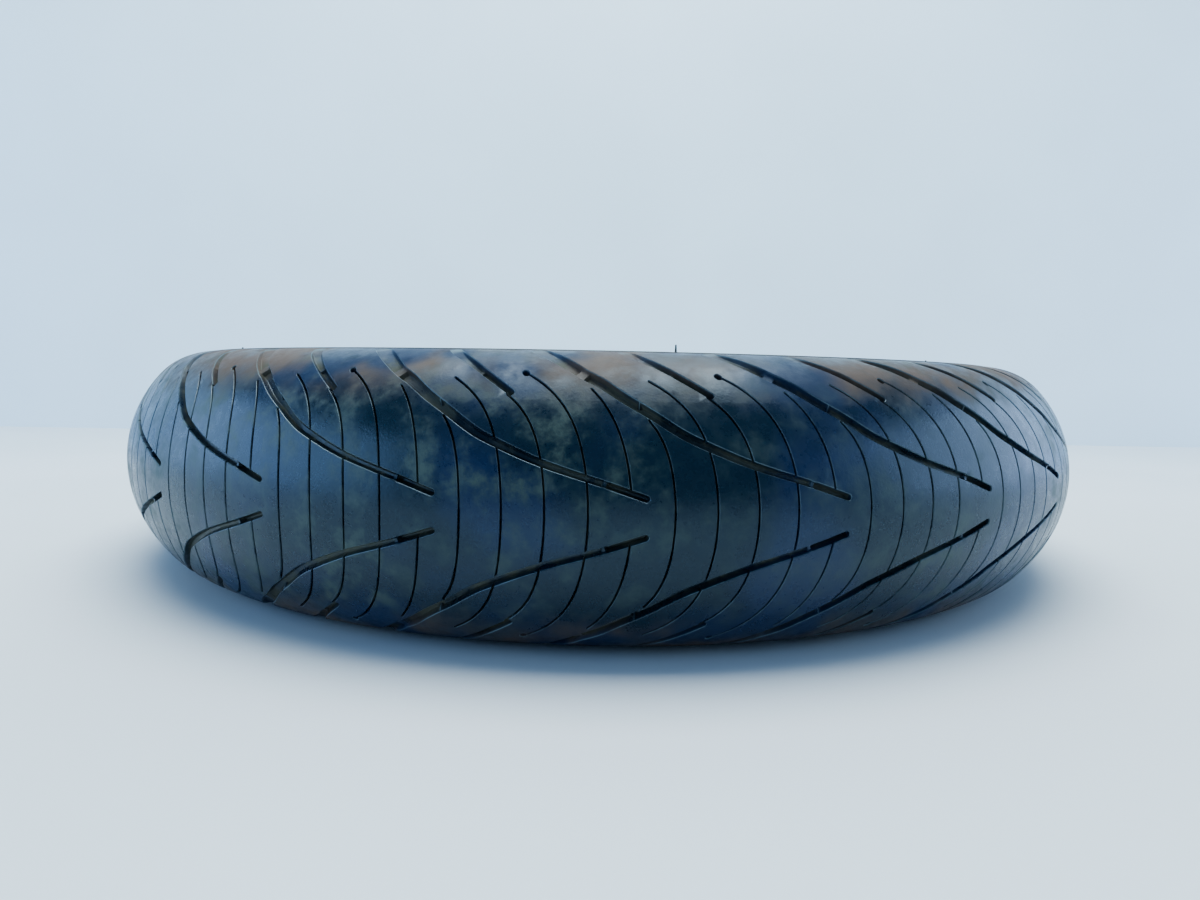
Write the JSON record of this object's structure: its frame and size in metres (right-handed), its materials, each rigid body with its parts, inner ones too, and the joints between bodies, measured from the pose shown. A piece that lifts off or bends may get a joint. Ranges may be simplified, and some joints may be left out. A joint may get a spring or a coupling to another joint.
{
  "type": "motorcycle tyre",
  "caption": "Radial tubeless road motorcycle tyre with a round crown, mirrored V grooves and sipes, and its layers, bead wires and belt inside.",
  "frame": {"origin": "centre of the tyre, on the axle axis and the mid plane", "axes": "+Z along the axle axis, up when the tyre lies flat; X and Y in the mid plane"},
  "size_m": [0.6, 0.6, 0.122],
  "materials": {
    "tread_centre": "satin",
    "tread_shoulder": "matte",
    "sidewall": "satin",
    "bead_rubber": "satin",
    "inner_rubber": "satin",
    "filler_rubber": "matte",
    "ply_cord": "matte",
    "bead_fabric": "matte",
    "steel_cord": "satin"
  },
  "bodies": {
    "root": {"tread_centre": "tread_centre", "tread_shoulder_upper": "tread_shoulder", "tread_shoulder_lower": "tread_shoulder", "tread_base": "filler_rubber", "belt_cord": "steel_cord", "belt_rubber": "filler_rubber", "belt_edge_strip_upper": "filler_rubber", "belt_edge_strip_lower": "filler_rubber", "carcass_ply_outer": "ply_cord", "carcass_ply_inner": "ply_cord", "inner_liner": "inner_rubber", "bead_wire_upper": "steel_cord", "bead_wire_lower": "steel_cord", "bead_wrap_upper": "bead_fabric", "bead_wrap_lower": "bead_fabric", "bead_filler_upper": "filler_rubber", "bead_filler_lower": "filler_rubber", "chafer_upper": "bead_fabric", "chafer_lower": "bead_fabric", "rim_cushion_upper": "bead_rubber", "rim_cushion_lower": "bead_rubber", "sidewall_upper": "sidewall", "sidewall_lower": "sidewall"}
  },
  "joints": []
}
